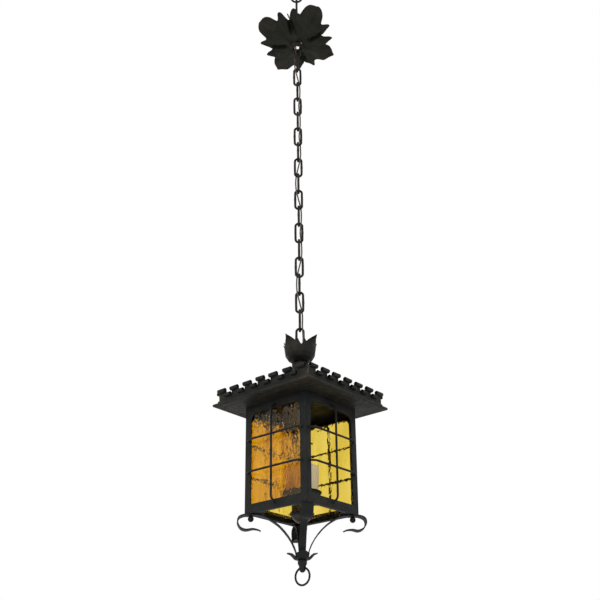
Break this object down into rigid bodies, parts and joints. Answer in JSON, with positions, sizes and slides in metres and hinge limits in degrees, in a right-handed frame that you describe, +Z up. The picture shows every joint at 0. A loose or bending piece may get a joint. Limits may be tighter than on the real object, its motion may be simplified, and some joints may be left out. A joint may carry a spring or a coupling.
{
  "type": "hanging lantern",
  "caption": "Hanging iron lantern: oval-link chain with laced flex, leaf canopy, square amber-glazed body with guard bars, notched eave, lamp, scroll brackets and a pull ring.",
  "frame": {"origin": "the point under the top of the hanging ring where a ceiling hook bears", "axes": "+Z up along the hanging chain; X and Y square to the body's sides, the unglazed side faces +X"},
  "size_m": [0.254, 0.254, 1.4559],
  "materials": {
    "blackened_iron": "matt black-grey wrought iron with faint brown wear",
    "chain_iron": "dull brown-black iron wire",
    "amber_glass": "amber hammered glass",
    "cream_sleeve": "aged cream",
    "bulb_glass": "clear glass",
    "bakelite": "dark brown moulded",
    "flex": "brown sheathed two-core flex"
  },
  "bodies": {
    "hook_ring": {"hanging_ring": "chain_iron"},
    "first_link": {"chain_link_01": "chain_iron"},
    "chain": {"chain_link_02": "chain_iron", "chain_link_03": "chain_iron", "chain_link_04": "chain_iron", "chain_link_05": "chain_iron", "chain_link_06": "chain_iron", "chain_link_07": "chain_iron", "chain_link_08": "chain_iron", "chain_link_09": "chain_iron", "chain_link_10": "chain_iron", "chain_link_11": "chain_iron", "chain_link_12": "chain_iron", "chain_link_13": "chain_iron", "chain_link_14": "chain_iron", "chain_link_15": "chain_iron", "chain_link_16": "chain_iron", "chain_link_17": "chain_iron", "chain_link_18": "chain_iron", "chain_link_19": "chain_iron", "chain_link_20": "chain_iron", "chain_link_21": "chain_iron", "chain_link_22": "chain_iron", "ceiling_canopy": "blackened_iron", "canopy_collar": "blackened_iron", "chain_flex": "flex"},
    "lantern": {"lamp_flex": "flex", "leaf_cup": "blackened_iron", "cup_eye": "blackened_iron", "shank_nut": "blackened_iron", "roof_cap": "blackened_iron", "eave_tray": "blackened_iron", "fascia": "blackened_iron", "frame_front": "blackened_iron", "frame_right": "blackened_iron", "frame_back": "blackened_iron", "frame_left": "blackened_iron", "pane_front": "amber_glass", "pane_back": "amber_glass", "pane_left": "amber_glass", "grille_front": "blackened_iron", "grille_right": "blackened_iron", "grille_back": "blackened_iron", "grille_left": "blackened_iron", "base_plate": "blackened_iron", "drip_pan": "blackened_iron", "lamp_sleeve": "cream_sleeve", "lamp_holder": "bakelite", "bulb": "bulb_glass", "bracket_front_right": "blackened_iron", "bracket_back_right": "blackened_iron", "bracket_back_left": "blackened_iron", "bracket_front_left": "blackened_iron", "ball_nut_front_right": "blackened_iron", "ball_nut_back_right": "blackened_iron", "ball_nut_back_left": "blackened_iron", "ball_nut_front_left": "blackened_iron", "finial": "blackened_iron", "leaf_collar": "blackened_iron"},
    "pull": {"pull_ring": "blackened_iron"}
  },
  "joints": [
    {"name": "ring_swing", "type": "hinge", "parent": "hook_ring", "child": "first_link", "pos_m": [0, 0, -0.0225], "axis": [0.766, 0.6428, 0], "range_deg": [-30, 30]},
    {"name": "chain_swing", "type": "hinge", "parent": "first_link", "child": "chain", "pos_m": [0, 0, -0.0654], "axis": [-0.6428, 0.766, 0], "range_deg": [-30, 30]},
    {"name": "lantern_swing", "type": "hinge", "parent": "chain", "child": "lantern", "pos_m": [0, 0, -0.9642], "axis": [0.766, 0.6428, 0], "range_deg": [-18, 18]},
    {"name": "pull_ring_swing", "type": "hinge", "parent": "lantern", "child": "pull", "pos_m": [0, 0, -1.4166], "axis": [0.9962, 0.0872, 0], "range_deg": [-75, 75]}
  ]
}
